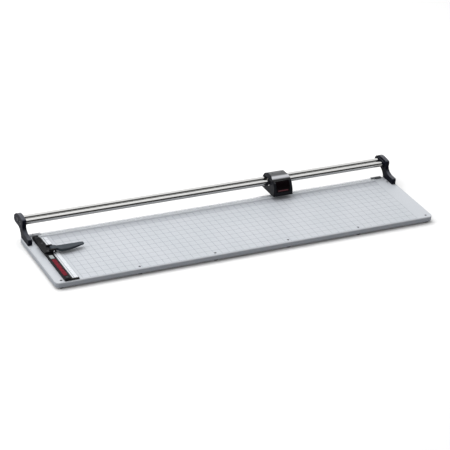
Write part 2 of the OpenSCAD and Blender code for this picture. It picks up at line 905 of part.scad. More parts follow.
module head_cover() {
  slot_r = bushing_r + rail_clearance;
  color([0.12, 0.12, 0.13]) placed() translate([head_x, 0, 0]) difference() {
    union() {
      difference() {
        cover_solid(0);
        cover_solid(cover_t);
      }
      intersection() {
        cover_solid(0);
        for (side = [-1, 1]) mirror([side < 0 ? 1 : 0, 0, 0])
          rod_x(side_boss_r, body_w / 2 + 0.05, head_w / 2, side_boss[0], side_boss[1]);
      }
    }
    for (y = [rail_y1, rail_y2]) rod_x(slot_r, -head_w, head_w, y, rail_h);
    block([-head_w, rail_y1, rail_h - slot_r], [head_w, rail_y2, rail_h + slot_r]);
    badge_window(0, badge_depth);
    rod_x(cover_screw_r, -head_w, head_w, side_boss[0], side_boss[1]);
    for (side = [-1, 1]) mirror([side < 0 ? 1 : 0, 0, 0])
      rod_x(side_screw_head_r + loose_gap, side_seat_x, head_w, side_boss[0], side_boss[1]);
    for (x = cover_screw_xs)
      translate([x, cover_screw_y, head_top]) countersink(cover_screw_r, cover_screw_head_r, cover_t + 1);
  }
}

// Thin plate bent to the cover's front, lying in its window
module head_badge() {
  color([0.1, 0.06, 0.07]) placed() translate([head_x, 0, 0]) intersection() {
    cover_solid(badge_depth - badge_t);
    badge_window(loose_gap, badge_depth);
  }
}

module cover_screws() {
  color([0.25, 0.25, 0.27]) placed() translate([head_x, 0, 0]) {
    for (x = cover_screw_xs)
      translate([x, cover_screw_y, head_top]) countersunk(cover_screw_r, cover_screw_head_r, cover_screw_l);
    for (side = [-1, 1]) mirror([side < 0 ? 1 : 0, 0, 0])
      translate([side_seat_x, side_boss[0], side_boss[1]])
        rotate([0, 90, 0]) socket_screw(cover_screw_r, side_screw_l, side_screw_head_r, side_screw_head_h);
  }
}

// Cast carriage: rail block, front apron with the roller fork, and the axle's lug
module head_body() {
  back = head_back - cover_t - 1.2;
  low_z = 5;
  waist_z = 19;
  under_y = apron_y + 6.6;
  over_y = apron_y + 10.6;
  back_corner_r = 15;
  stud_r = 3.5;
  stud_top = head_top - cover_t - 0.6;
  color([0.3, 0.3, 0.32]) placed() translate([head_x, 0, 0]) difference() {
    union() {
      along_x(-body_w / 2, body_w / 2) polygon(rounded([
        [apron_y, low_z, 0], [apron_y + apron_t, low_z, 0], [apron_y + apron_t, waist_z, 0],
        [under_y, body_z0, 0], [back, body_z0, 0], [back, body_z1, back_corner_r],
        [over_y, body_z1, 0], [apron_y, waist_z, 0]
      ]));
      block([-fork_half_w, roller_y1 + loose_gap, low_z], [fork_half_w, nut_y0 - loose_gap, body_z0 + 1]);
      block([-lug_half_w, lug_y0, wheel_z - 8], [lug_half_w, lug_y1, body_z0 + 1]);
      for (x = cover_screw_xs)
        translate([x, cover_screw_y, body_z1 - 1]) cylinder(h = stud_top - body_z1 + 1, r = stud_r);
    }
    for (y = [rail_y1, rail_y2]) {
      rod_x(rail_r + rail_clearance, -head_w, head_w, y, rail_h);
      rod_x(bushing_r, -body_w / 2 - 1, -body_w / 2 + bushing_l, y, rail_h);
      rod_x(bushing_r, body_w / 2 - bushing_l, body_w / 2 + 1, y, rail_h);
    }
    rod_y(wheel_r + 1, wheel_y0 - 1, wheel_y1 + 1 + loose_gap, 0, wheel_z);
    rod_y(axle_r, lug_y0 - 1, lug_y1 + 1, 0, wheel_z);
    rod_y(roller_pin_r, apron_y - 1, nut_y0, 0, roller_z);
    for (x = cover_screw_xs)
      translate([x, cover_screw_y, head_top - cover_screw_l - 4]) cylinder(h = head_top, r = cover_screw_r);
    for (side = [-1, 1]) mirror([side < 0 ? 1 : 0, 0, 0])
      rod_x(cover_screw_r, side_seat_x - side_screw_l - 1.8, body_w, side_boss[0], side_boss[1]);
  }
}

module rail_bushings() {
  color([0.85, 0.83, 0.76]) placed() translate([head_x, 0, 0])
    for (y = [rail_y1, rail_y2], x = [-body_w / 2, body_w / 2 - bushing_l]) difference() {
      rod_x(bushing_r, x, x + bushing_l, y, rail_h);
      rod_x(rail_r + running_gap, x - 1, x + bushing_l + 1, y, rail_h);
    }
}

// ---- cutting wheel group ----

module wheel_axle() {
  color([0.6, 0.6, 0.62]) placed() rod_y(axle_r, nut_y0 + 0.1, lug_y1, head_x, wheel_z);
}

module axle_nut() {
  color([0.5, 0.5, 0.52]) placed() difference() {
    translate([head_x, nut_y1, wheel_z]) rotate([90, 0, 0])
      cylinder(h = nut_y1 - nut_y0, r = axle_nut_corner_r, $fn = 6);
    rod_y(axle_r, nut_y0 - 1, nut_y1 + 1, head_x, wheel_z);
  }
}

module thrust_washer() {
  color([0.72, 0.58, 0.3]) placed() difference() {
    rod_y(washer_r, nut_y1, nut_y1 + washer_t, head_x, wheel_z);
    rod_y(axle_r, nut_y1 - 1, nut_y1 + 2, head_x, wheel_z);
  }
}

module axle_sleeve() {
  y0 = nut_y1 + washer_t + float_gap;
  y1 = spring_y0 - 0.2;
  color([0.7, 0.56, 0.3]) placed() difference() {
    union() {
      rod_y(sleeve_r, y0, y1 - sleeve_flange_t, head_x, wheel_z);
      rod_y(sleeve_flange_r, y1 - sleeve_flange_t, y1, head_x, wheel_z);
    }
    rod_y(axle_r + running_gap, y0 - 1, y1 + 1, head_x, wheel_z);
  }
}

module wheel_spring() {
  y1 = lug_y0 - 0.1;
  color([0.6, 0.6, 0.62]) placed() translate([head_x, y1, wheel_z]) rotate([90, 0, 0])
    coil_spring(wheel_spring_r, wheel_spring_wire_r, y1 - spring_y0, spring_turns);
}

// Places a piece at each of the hub's three screws, seen from the front along Y
module at_hub_screws() {
  for (a = hub_screw_turns)
    translate([hub_screw_circle * cos(a), 0, hub_screw_circle * sin(a)]) children();
}

module wheel_hub() {
  front = nut_y1 + washer_t + 1;
  flange_back = wheel_y1 + hub_flange_t;
  back = flange_back + hub_tail_l;
  color([0.68, 0.69, 0.71]) placed() translate([head_x, 0, wheel_z]) difference() {
    union() {
      rod_y(hub_boss_r, front, wheel_y1);
      rod_y(hub_flange_r, wheel_y1, flange_back);
      rod_y(hub_tail_r, flange_back, back);
    }
    rod_y(sleeve_r + running_gap, front - 1, back + 1);
    at_hub_screws() rod_y(hub_screw_r, wheel_y1 - 1, flange_back + 1);
  }
}

// Disc with a flat face towards the fixed blade and a bevel behind
module cutting_wheel() {
  land = 0.4;
  bevel_depth = 3;
  color([0.75, 0.76, 0.78]) placed() translate([head_x, 0, wheel_z]) difference() {
    translate([0, wheel_y0, 0]) rotate([-90, 0, 0]) {
      cylinder(h = land, r = wheel_r);
      translate([0, 0, land]) cylinder(h = wheel_t - land, r1 = wheel_r, r2 = wheel_r - bevel_depth);
    }
    rod_y(hub_boss_r, wheel_y0 - 1, wheel_y1 + 1);
    at_hub_screws() rod_y(hub_screw_r, wheel_y0 - 1, wheel_y1 + 1);
  }
}

module hub_ring() {
  color([0.5, 0.5, 0.52]) placed() translate([head_x, 0, wheel_z]) difference() {
    rod_y(hub_ring_r, wheel_y0 - hub_ring_t, wheel_y0);
    rod_y(hub_boss_r, wheel_y0 - hub_ring_t - 1, wheel_y0 + 1);
    at_hub_screws() rod_y(hub_screw_r, wheel_y0 - hub_ring_t - 1, wheel_y0 + 1);
  }
}

module hub_screws() {
  face_y = wheel_y0 - hub_ring_t;
  color([0.35, 0.35, 0.37]) placed() translate([head_x, 0, wheel_z]) at_hub_screws() {
    rod_y(hub_screw_r, face_y, wheel_y1 + hub_flange_t);
    rod_y(hub_screw_head_r, face_y - hub_screw_head_h, face_y);
  }
}

module press_roller() {
  color([0.16, 0.16, 0.17]) placed() difference() {
    rod_y(roller_r, roller_y0, roller_y1, head_x, roller_z);
    rod_y(roller_pin_r + running_gap, roller_y0 - 1, roller_y1 + 1, head_x, roller_z);
  }
}

module roller_pin() {
  color([0.7, 0.7, 0.72]) placed()
    rod_y(roller_pin_r, apron_y, nut_y0 - loose_gap, head_x, roller_z);
}

baseboard_core();
top_laminate();
bottom_laminate();
edge_trim();
blade_bar();
stiffener_strap();
fixed_blade();
blade_screws();
board_screws_front();
board_screws_rear();
board_nuts();
feet_front();
feet_rear();
paper_strip();
strip_anchor_left();
strip_anchor_right();
anchor_screws();
bracket_left();
bracket_right();
bracket_bolts();
rail_front();
rail_rear();
rail_end_screws();
guide_bar();
guide_panel();
guide_index_tab();
guide_screws();
side_clamp();
side_clamp_posts();
side_clamp_springs();
lever_bracket();
lever_bracket_screws();
clamp_lever();
lever_pin();
head_body();
head_cover();
head_badge();
cover_screws();
rail_bushings();
wheel_axle();
axle_nut();
thrust_washer();
axle_sleeve();
wheel_spring();
wheel_hub();
cutting_wheel();
hub_ring();
hub_screws();
press_roller();
roller_pin();
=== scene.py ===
"""Looks of the rotary paper trimmer: finishes, printed marks and softened edges on the CAD pieces,
with the camera, the floor and the studio light. Lengths are in metres, in the CAD frame."""
import json
import math

import bmesh
import bpy
from mathutils import Matrix, Vector
from mathutils.bvhtree import BVHTree

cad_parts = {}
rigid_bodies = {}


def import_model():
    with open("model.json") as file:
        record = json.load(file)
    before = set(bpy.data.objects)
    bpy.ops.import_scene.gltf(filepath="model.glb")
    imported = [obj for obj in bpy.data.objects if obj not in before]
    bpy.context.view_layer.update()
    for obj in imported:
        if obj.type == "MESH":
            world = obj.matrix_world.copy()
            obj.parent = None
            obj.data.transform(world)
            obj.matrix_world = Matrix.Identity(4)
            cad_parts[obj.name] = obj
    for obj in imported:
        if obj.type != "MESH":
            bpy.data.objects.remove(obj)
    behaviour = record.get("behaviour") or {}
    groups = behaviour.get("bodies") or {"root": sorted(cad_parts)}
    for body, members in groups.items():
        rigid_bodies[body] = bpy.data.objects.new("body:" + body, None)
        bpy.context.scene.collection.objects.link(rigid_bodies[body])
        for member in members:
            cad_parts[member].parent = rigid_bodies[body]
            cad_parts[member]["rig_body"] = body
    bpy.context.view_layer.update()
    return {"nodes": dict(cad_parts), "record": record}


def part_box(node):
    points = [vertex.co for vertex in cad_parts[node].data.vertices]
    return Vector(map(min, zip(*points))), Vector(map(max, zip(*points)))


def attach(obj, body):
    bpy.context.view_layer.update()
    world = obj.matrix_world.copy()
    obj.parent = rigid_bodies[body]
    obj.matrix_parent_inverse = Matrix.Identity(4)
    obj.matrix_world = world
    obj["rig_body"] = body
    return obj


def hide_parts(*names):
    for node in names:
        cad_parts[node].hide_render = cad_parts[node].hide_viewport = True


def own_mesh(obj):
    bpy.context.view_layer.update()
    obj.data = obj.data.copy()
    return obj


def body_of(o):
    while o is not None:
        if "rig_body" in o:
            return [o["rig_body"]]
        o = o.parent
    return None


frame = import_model()

MM = 0.001
INCH = 0.0254

# Places taken from the frame
board_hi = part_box("edge_trim")[1]
board_top = board_hi.z
cut_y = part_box("fixed_blade")[1].y
clamp_lo, clamp_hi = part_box("side_clamp")
badge_lo, badge_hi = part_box("head_badge")
cover_lo, cover_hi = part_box("head_cover")
slots = {part["node"]: part["material_slot"] for part in frame["record"]["subparts"]}

# Printed grid: inch lines counted back from the cutting edge and left from the grid's right end
INK = 0.03 * MM
RIGHT_MARGIN = 61 * MM
field_right = board_hi.x - RIGHT_MARGIN
field_columns = 48
field_rows = 12


def srgb(r, g, b):
    """Linear colour of an 8-bit screen colour."""
    def linear(channel):
        share = channel / 255
        return share / 12.92 if share <= 0.04045 else ((share + 0.055) / 1.055) ** 2.4
    return (linear(r), linear(g), linear(b), 1.0)


# ---------------------------------------------------------------- node helpers


def add_node(tree, kind, **settings):
    """A new node of a kind in a tree, with its settings."""
    new = tree.nodes.new(kind)
    for key, value in settings.items():
        setattr(new, key, value)
    return new


def feed(tree, socket, value):
    """Links an output to an input socket, or sets the socket to a plain value."""
    if isinstance(value, bpy.types.NodeSocket):
        tree.links.new(value, socket)
    else:
        socket.default_value = value


def remap(tree, value, low, high, out_low, out_high, **settings):
    """Maps low..high of an output on out_low..out_high, held at the ends."""
    scale = add_node(tree, "ShaderNodeMapRange", **settings)
    tree.links.new(value, scale.inputs["Value"])
    for socket, number in zip(("From Min", "From Max", "To Min", "To Max"),
                              (low, high, out_low, out_high)):
        scale.inputs[socket].default_value = number
    return scale.outputs["Result"]


def calculate(tree, operation, first, second):
    """Result of a sum on two numbers or outputs."""
    step = add_node(tree, "ShaderNodeMath", operation=operation)
    feed(tree, step.inputs[0], first)
    feed(tree, step.inputs[1], second)
    return step.outputs[0]


# ---------------------------------------------------------------- finishes

# Values between which nearly all of a noise lies, and those between which its middle lies
NOISE_LOW, NOISE_HIGH = 0.3, 0.7
MIDDLE_LOW, MIDDLE_HIGH = 0.35, 0.65


class Finish:
    """A Principled material, with short calls that add procedural detail to it."""

    def __init__(self, name, base, roughness, metallic=0.0, **sockets):
        self.material = bpy.data.materials.new(name)
        self.material.use_nodes = True
        self.tree = self.material.node_tree
        self.shader = self.tree.nodes["Principled BSDF"]
        places = self.tree.nodes.new("ShaderNodeTexCoord").outputs
        self.coords = places["Object"]
        self.normal = places["Normal"]
        self.put("Base Color", base)
        self.put("Roughness", roughness)
        self.put("Metallic", metallic)
        for socket, value in sockets.items():
            self.put(socket.replace("_", " "), value)

    def put(self, socket, value):
        """Sets a socket of the shader, or links an output to it."""
        feed(self.tree, self.shader.inputs[socket], value)

    def add(self, kind, **settings):
        """A new node in this material."""
        return add_node(self.tree, kind, **settings)

    def noise(self, size, detail=3.0, stretch=(1, 1, 1), gain=0.55):
        """Noise whose features are about size metres, drawn out along the stretched axes."""
        mapping = self.add("ShaderNodeMapping")
        mapping.inputs["Scale"].default_value = [1 / (size * factor) for factor in stretch]
        self.tree.links.new(self.coords, mapping.inputs["Vector"])
        texture = self.add("ShaderNodeTexNoise")
        texture.inputs["Scale"].default_value = 1.0
        texture.inputs["Detail"].default_value = detail
        texture.inputs["Roughness"].default_value = gain
        self.tree.links.new(mapping.outputs[0], texture.inputs["Vector"])
        return texture.outputs["Fac"]

    def between(self, fac, low, high, out_low, out_high):
        """Maps low..high of fac on out_low..out_high, held at the ends."""
        return remap(self.tree, fac, low, high, out_low, out_high)

    def full(self, noise, low, high):
        """Maps nearly all of a noise on low..high."""
        return self.between(noise, NOISE_LOW, NOISE_HIGH, low, high)

    def patches(self, noise):
        """Patches from 0 to 1 made from the middle of a noise."""
        return self.between(noise, MIDDLE_LOW, MIDDLE_HIGH, 0.0, 1.0)

    def uneven(self, size, low, high, detail=3.0):
        """Roughness that wanders between two values over about size metres."""
        self.put("Roughness", self.full(self.noise(size, detail), low, high))

    def mix(self, fac, dark, light):
        """Colour between two colours, each a colour or an output."""
        blend = self.add("ShaderNodeMix", data_type="RGBA")
        first, second = [socket for socket in blend.inputs if socket.type == "RGBA"]
        self.tree.links.new(fac, blend.inputs["Factor"])
        feed(self.tree, first, dark)
        feed(self.tree, second, light)
        return next(socket for socket in blend.outputs if socket.type == "RGBA")

    def paint(self, fac, dark, light):
        """Base colour that wanders between two colours."""
        self.put("Base Color", self.mix(fac, dark, light))

    def bump(self, height, depth, strength):
        """Relief of the given depth in metres."""
        relief = self.add("ShaderNodeBump")
        relief.inputs["Strength"].default_value = strength
        relief.inputs["Distance"].default_value = depth
        self.tree.links.new(height, relief.inputs["Height"])
        self.put("Normal", relief.outputs["Normal"])

    def edge(self, low, high):
        """1 on convex edges of the mesh, 0 elsewhere."""
        point = self.add("ShaderNodeNewGeometry").outputs["Pointiness"]
        return self.between(point, low, high, 0.0, 1.0)

    def part_of(self, vector, axis):
        """One component of a vector output."""
        split = self.add("ShaderNodeSeparateXYZ")
        self.tree.links.new(vector, split.inputs[0])
        return split.outputs[axis]

    def times(self, first, second):
        """Product of two outputs."""
        return calculate(self.tree, "MULTIPLY", first, second)

    def above(self, low, high):
        """0 below the first height of the piece, 1 above the second."""
        return self.between(self.part_of(self.coords, "Z"), low, high, 0.0, 1.0)

    def up(self, low, high, side=0.0, top=1.0):
        """One value where the piece faces up in its rest position, another on its sides and below."""
        return self.between(self.part_of(self.normal, "Z"), low, high, side, top)

    def facing_front(self):
        """1 where the piece faces the front, 0 where it faces a side, the back or straight up."""
        return self.between(self.part_of(self.normal, "Y"), -0.36, -0.16, 1.0, 0.0)

    def brow_band(self):
        """1 in a band across the front of the head cover just below its top, 0 elsewhere: where a painted
        highlight goes.
        """
        top = cover_hi.z
        rise = self.above(top - 9 * MM, top - 6 * MM)
        height = self.part_of(self.coords, "Z")
        fall = self.between(height, top - 3.2 * MM, top - 0.8 * MM, 1.0, 0.0)
        return self.times(self.times(rise, fall), self.facing_front())


def melamine():
    """Board face: pale grey melamine, slightly mottled, with a faint pebble."""
    look = Finish("board_melamine", srgb(164, 168, 173), 0.42, Specular_IOR_Level=0.35)
    clouds = look.mix(look.patches(look.noise(0.16, 2)), srgb(159, 163, 168), srgb(164, 167, 172))
    flecks = look.between(look.noise(0.8 * MM, 2), 0.4, 0.6, 0.0, 0.35)
    look.paint(flecks, clouds, srgb(172, 175, 179))
    look.uneven(3 * MM, 0.36, 0.5)
    look.bump(look.noise(0.5 * MM, 2), 0.02 * MM, 0.4)
    return look.material


def edge_band():
    """Dark grey edge band with fine lines along it and a pale upper edge."""
    look = Finish("edge_band_vinyl", srgb(112, 116, 122), 0.45)
    lines = look.noise(0.5 * MM, 3, stretch=(160, 160, 1))
    body = look.mix(look.patches(lines), srgb(106, 110, 117), srgb(122, 126, 132))
    upper_edge = look.above(board_top - 3 * MM, board_top - 1.2 * MM)
    look.paint(upper_edge, body, srgb(164, 167, 171))
    look.uneven(2 * MM, 0.38, 0.52)
    look.bump(lines, 0.03 * MM, 0.5)
    return look.material


def fibreboard():
    """Middle layer of the board: pressed brown fibres."""
    look = Finish("fibreboard", srgb(150, 120, 88), 0.9)
    fibres = look.noise(0.6 * MM, 4, stretch=(4, 4, 1))
    look.paint(fibres, srgb(118, 92, 66), srgb(176, 146, 110))
    look.bump(fibres, 0.1 * MM, 0.6)
    return look.material


def backing():
    """Dark sheet under the board."""
    look = Finish("backing_sheet", srgb(96, 96, 98), 0.6)
    look.paint(look.noise(12 * MM, 4), srgb(86, 86, 89), srgb(108, 108, 109))
    look.bump(look.noise(1.2 * MM, 3), 0.05 * MM, 0.4)
    return look.material


def painted_steel():
    """Grey stove enamel with orange peel and faint patches."""
    look = Finish("grey_enamel", srgb(120, 122, 126), 0.45, Coat_Weight=0.2, Coat_Roughness=0.25)
    look.paint(look.noise(20 * MM, 3), srgb(112, 114, 119), srgb(130, 132, 136))
    look.uneven(6 * MM, 0.38, 0.55)
    look.bump(look.noise(0.9 * MM, 1), 0.04 * MM, 0.5)
    return look.material


def ground_steel():
    """Blade steel: ground with fine marks."""
    look = Finish("ground_steel", (0.82, 0.83, 0.85, 1), 0.22, 1.0)
    marks = look.noise(0.25 * MM, 4, stretch=(1, 1, 60))
    look.put("Roughness", look.full(marks, 0.18, 0.36))
    look.paint(look.noise(4 * MM, 3), (0.76, 0.77, 0.79, 1), (0.88, 0.89, 0.9, 1))
    look.bump(marks, 0.008 * MM, 0.5)
    return look.material


def black_steel():
    """Blackened screws, mottled, with uneven gloss."""
    look = Finish("black_oxide_steel", srgb(24, 24, 27), 0.42, 0.4)
    look.paint(look.noise(1.5 * MM, 4), srgb(18, 18, 21), srgb(40, 40, 45))
    look.uneven(0.8 * MM, 0.3, 0.55)
    return look.material


def zinc():
    """Zinc plated screws and nuts."""
    look = Finish("zinc_plate", (0.5, 0.51, 0.53, 1), 0.34, 1.0)
    look.paint(look.noise(3 * MM, 4), (0.42, 0.43, 0.45, 1), (0.62, 0.63, 0.64, 1))
    look.uneven(1 * MM, 0.26, 0.46)
    return look.material


def rubber():
    """Black rubber of the feet and the press roller."""
    look = Finish("black_rubber", srgb(34, 34, 36), 0.75, Specular_IOR_Level=0.3)
    look.paint(look.noise(4 * MM, 4), srgb(28, 28, 30), srgb(46, 46, 48))
    look.bump(look.noise(0.4 * MM, 3), 0.05 * MM, 0.6)
    return look.material


def clear_plastic():
    """Clear strip: slightly cool, with faint scuffs along its length."""
    look = Finish("clear_polycarbonate", (0.8, 0.83, 0.86, 1), 0.12, Alpha=0.3)
    scuffs = look.noise(0.5 * MM, 4, stretch=(80, 1, 1))
    look.put("Roughness", look.between(scuffs, 0.5, 0.8, 0.08, 0.26))
    look.put("Alpha", look.between(scuffs, 0.3, 0.8, 0.24, 0.42))
    return look.material


def moulded(name, dark, light, roughness, grain=0.7 * MM, relief=0.02 * MM, wear=None, gloss=0.5,
            painted_top_sheen=None, brow=None):
    """Moulded plastic: a fine grain, uneven gloss and, if asked, paler rubbed edges, plus a painted sheen
    on the tops and a painted highlight across the brow.
    """
    look = Finish(name, dark, roughness, Specular_IOR_Level=gloss)
    colour = look.mix(look.patches(look.noise(9 * MM, 4)), dark, light)
    if wear:
        colour = look.mix(look.edge(0.54, 0.62), colour, wear)
    if painted_top_sheen:
        # Painted sheen: faces that point up are made paler, standing in for the overhead light reflected
        # on the top; their specular level rises too.
        colour = look.mix(look.up(0.78, 0.97), colour, painted_top_sheen)
        look.put("Specular IOR Level", look.up(0.7, 0.95, gloss, 0.6))
    if brow:
        # Painted highlight: a pale band across the front of the cover just below its top.
        colour = look.mix(look.brow_band(), colour, brow)
    look.put("Base Color", colour)
    look.uneven(4 * MM, roughness - 0.06, roughness + 0.08)
    look.bump(look.noise(grain, 2), relief, 0.5)
    return look.material


def casting():
    """Black powder coat over a die casting: orange peel, a painted highlight that makes the tops paler,
    and duller flanks.
    """
    look = Finish("black_powder_coat", srgb(14, 15, 19), 0.4, Specular_Tint=(0.75, 0.8, 1, 1))
    body = look.mix(look.patches(look.noise(14 * MM, 4)), srgb(11, 12, 18), srgb(18, 19, 27))
    # Painted highlight: faces that point up are made paler grey, standing in for the overhead light's
    # sheen on the tops.
    painted_sheen_tops = look.mix(look.up(0.5, 0.95), body, srgb(38, 39, 43))
    look.paint(look.edge(0.53, 0.6), painted_sheen_tops, srgb(14, 17, 27))
    look.put("Specular IOR Level", look.up(0.5, 0.9, 0.03, 0.45))
    look.uneven(3 * MM, 0.32, 0.5)
    look.bump(look.noise(1.3 * MM, 2), 0.08 * MM, 0.6)
    return look.material


def chrome_bar():
    """Ground and polished bar: mirror bright with faint rings round it."""
    look = Finish("polished_bar", (0.47, 0.47, 0.465, 1), 0.1, 1.0)
    rings = look.noise(0.6 * MM, 3, stretch=(1, 60, 60))
    look.put("Roughness", look.full(rings, 0.07, 0.16))
    look.paint(look.noise(40 * MM, 3), (0.44, 0.44, 0.436, 1), (0.52, 0.516, 0.508, 1))
    look.bump(rings, 0.004 * MM, 0.4)
    return look.material


def turned_metal(name, low, high):
    """Turned metal with fine rings about Y."""
    look = Finish(name, low, 0.28, 1.0)
    rings = look.noise(0.35 * MM, 3, stretch=(60, 1, 60))
    look.paint(look.noise(4 * MM, 3), low, high)
    look.put("Roughness", look.full(rings, 0.2, 0.4))
    look.bump(rings, 0.01 * MM, 0.5)
    return look.material


def cast_carriage():
    """Rough casting of the carriage inside the cover."""
    look = Finish("cast_carriage", srgb(58, 58, 61), 0.6, 0.3)
    look.paint(look.noise(6 * MM, 5), srgb(46, 46, 49), srgb(78, 78, 81))
    look.bump(look.noise(0.9 * MM, 4), 0.12 * MM, 0.7)
    return look.material


def label(name, low, high, roughness=0.3):
    """Printed plastic label under a thin gloss film."""
    look = Finish(name, low, roughness, Specular_IOR_Level=0.04, Coat_Weight=0.01, Coat_Roughness=0.12)
    look.paint(look.full(look.noise(5 * MM, 3), 0, 1), low, high)
    look.bump(look.noise(2.5 * MM, 2), 0.01 * MM, 0.4)
    return look.material


def ink(name, low, high):
    """Print that is a little uneven in density."""
    look = Finish(name, low, 0.5)
    look.paint(look.full(look.noise(1.5 * MM, 3), 0, 1), low, high)
    look.uneven(3 * MM, 0.42, 0.56, 2)
    return look.material


finishes = {
    "board_edge": edge_band(),
    "mdf": fibreboard(),
    "grid_sheet": melamine(),
    "backing_sheet": backing(),
    "beam_steel": painted_steel(),
    "blade_steel": ground_steel(),
    "screw_steel": black_steel(),
    "zinc_steel": zinc(),
    "foot_rubber": rubber(),
    "clear_strip": clear_plastic(),
    "grey_plastic": moulded("light_grey_plastic", srgb(168, 170, 174), srgb(182, 184, 188), 0.45),
    "black_plastic": moulded("black_plastic", srgb(6, 6, 8), srgb(11, 11, 13), 0.34,
                             wear=srgb(22, 22, 25), gloss=0.06),
    "bracket_paint": casting(),
    "rail_chrome": chrome_bar(),
    "guide_black": moulded("black_anodised", srgb(7, 7, 9), srgb(12, 12, 14), 0.38,
                           wear=srgb(22, 22, 25), gloss=0.06),
    "guide_red": label("red_label", srgb(56, 3, 14), srgb(112, 8, 30)),
    "guide_tab": label("pale_label", srgb(126, 130, 132), srgb(136, 141, 141)),
    "white_plastic": moulded("white_plastic", srgb(186, 189, 193), srgb(194, 197, 201), 0.4, gloss=0.3),
    "lever_plastic": moulded("lever_plastic", srgb(24, 28, 33), srgb(30, 35, 40), 0.42,
                             grain=0.9 * MM, relief=0.04 * MM, wear=srgb(44, 50, 56), gloss=0.12),
    "cast_body": cast_carriage(),
    "badge": label("dark_label", srgb(7, 3, 5), srgb(11, 6, 8), 0.28),
    "bushing_plastic": moulded("acetal", srgb(214, 210, 196), srgb(226, 222, 208), 0.4),
    "bearing_brass": turned_metal("turned_brass", (0.62, 0.43, 0.17, 1), (0.76, 0.56, 0.26, 1)),
    "hub_metal": turned_metal("turned_aluminium", (0.6, 0.61, 0.63, 1), (0.76, 0.77, 0.78, 1)),
    "roller_rubber": rubber(),
    "grid_ink": ink("grid_ink", srgb(96, 102, 110), srgb(112, 118, 126)),
    "red_ink": ink("red_ink", srgb(74, 8, 24), srgb(86, 14, 32)),
}
# Head cover: black plastic with a painted sheen on its top and a painted highlight across its brow.
cover_finish = moulded("cover_plastic", srgb(6, 6, 8), srgb(11, 11, 13), 0.34, wear=srgb(24, 25, 29),
                       gloss=0.05, painted_top_sheen=srgb(32, 33, 36), brow=srgb(164, 165, 169))
anchor_finish = moulded("anchor_plastic", srgb(58, 60, 64), srgb(68, 70, 74), 0.42, gloss=0.3)
band_ink = ink("band_ink", srgb(155, 158, 163), srgb(162, 165, 170))
# Painted shade: grey of the strip over the number row, where the rails' soft shadow falls
row_painted_shade = ink("row_painted_shade", srgb(149, 152, 158), srgb(154, 157, 162))
faint_ink = ink("faint_ink", srgb(150, 154, 159), srgb(154, 158, 163))
dark_ink = ink("dark_ink", srgb(84, 88, 96), srgb(98, 102, 110))


# ---------------------------------------------------------------- mesh helpers

# Distance from one digit to the next, as a share of their size
DIGIT_PITCH = 0.62
# Points of the digits and of the CAD pieces that are closer than this become one
DIGIT_WELD = 1e-7
CAD_WELD = 2e-6
# Faces that meet at less than this become one
FLAT_ANGLE = math.radians(0.6)
# Edges sharper than this are rounded off
SOFTENED_ANGLE = math.radians(32)
# Edges sharper than this are shaded as edges
SHARP_ANGLE = math.radians(40)
# Share of a face's normal from which it counts as facing sideways or forwards
SIDE_FACING = 0.9
FRONT_FACING = 0.3


def new_piece(name, mesh, material, body):
    """A mesh object in the scene that rides on a body and takes its finish from a slot."""
    piece = bpy.data.objects.new(name, mesh)
    bpy.context.scene.collection.objects.link(piece)
    mesh.materials.clear()
    mesh.materials.append(material)
    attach(piece, body)
    return piece


def add_box(bm, lo, hi):
    """Adds a closed box between two corners."""
    corner = [bm.verts.new((x, y, z)) for z in (lo[2], hi[2]) for y in (lo[1], hi[1])
              for x in (lo[0], hi[0])]
    for face in ((0, 2, 3, 1), (4, 5, 7, 6), (0, 1, 5, 4), (2, 6, 7, 3), (0, 4, 6, 2), (1, 3, 7, 5)):
        bm.faces.new([corner[i] for i in face])


def boxes(name, spans, material, body):
    """One piece made of many closed boxes, such as printed lines."""
    bm = bmesh.new()
    for lo, hi in spans:
        add_box(bm, lo, hi)
    mesh = bpy.data.meshes.new(name)
    bm.to_mesh(mesh)
    bm.free()
    return new_piece(name, mesh, material, body)


def digit_shapes(size):
    """A closed mesh for each digit, centred on its own middle, lying in the XY plane."""
    shapes = {}
    for digit in "0123456789":
        curve = bpy.data.curves.new("digit", "FONT")
        curve.body = digit
        curve.size = size
        curve.extrude = INK / 2
        curve.resolution_u = 3
        curve.align_x = "CENTER"
        curve.align_y = "CENTER"
        carrier = bpy.data.objects.new("digit", curve)
        bpy.context.scene.collection.objects.link(carrier)
        bpy.context.view_layer.update()
        drawn = carrier.evaluated_get(bpy.context.evaluated_depsgraph_get())
        shapes[digit] = bpy.data.meshes.new_from_object(drawn)
        bpy.data.objects.remove(carrier)
        bpy.data.curves.remove(curve)
    return shapes


def numbers(name, items, size, z, material, body):
    """One piece holding whole numbers, each (value, x, y), lying flat with its underside at z."""
    shapes = digit_shapes(size)
    bm = bmesh.new()
    for value, x, y in items:
        text = str(value)
        for i, digit in enumerate(text):
            along = (i - (len(text) - 1) / 2) * size * DIGIT_PITCH
            placed = shapes[digit].copy()
            placed.transform(Matrix.Translation((x + along, y, z + INK / 2)))
            bm.from_mesh(placed)
            bpy.data.meshes.remove(placed)
    bmesh.ops.remove_doubles(bm, verts=bm.verts, dist=DIGIT_WELD)
    mesh = bpy.data.meshes.new(name)
    bm.to_mesh(mesh)
    bm.free()
    return new_piece(name, mesh, material, body)


def corner_edges(bm):
    """Edges of the head cover where a side meets the front from outside."""
    middle = (cover_lo.x + cover_hi.x) / 2
    found = []
    for edge in bm.edges:
        if len(edge.link_faces) != 2:
            continue
        side, front = sorted(edge.link_faces, key=lambda face: -abs(face.normal.x))
        outside = side.normal.x * (edge.verts[0].co.x - middle) > 0
        sideways = abs(side.normal.x) > SIDE_FACING
        forwards = abs(front.normal.x) < FRONT_FACING and front.normal.y < -FRONT_FACING
        if sideways and outside and forwards:
            found.append(edge)
    return found


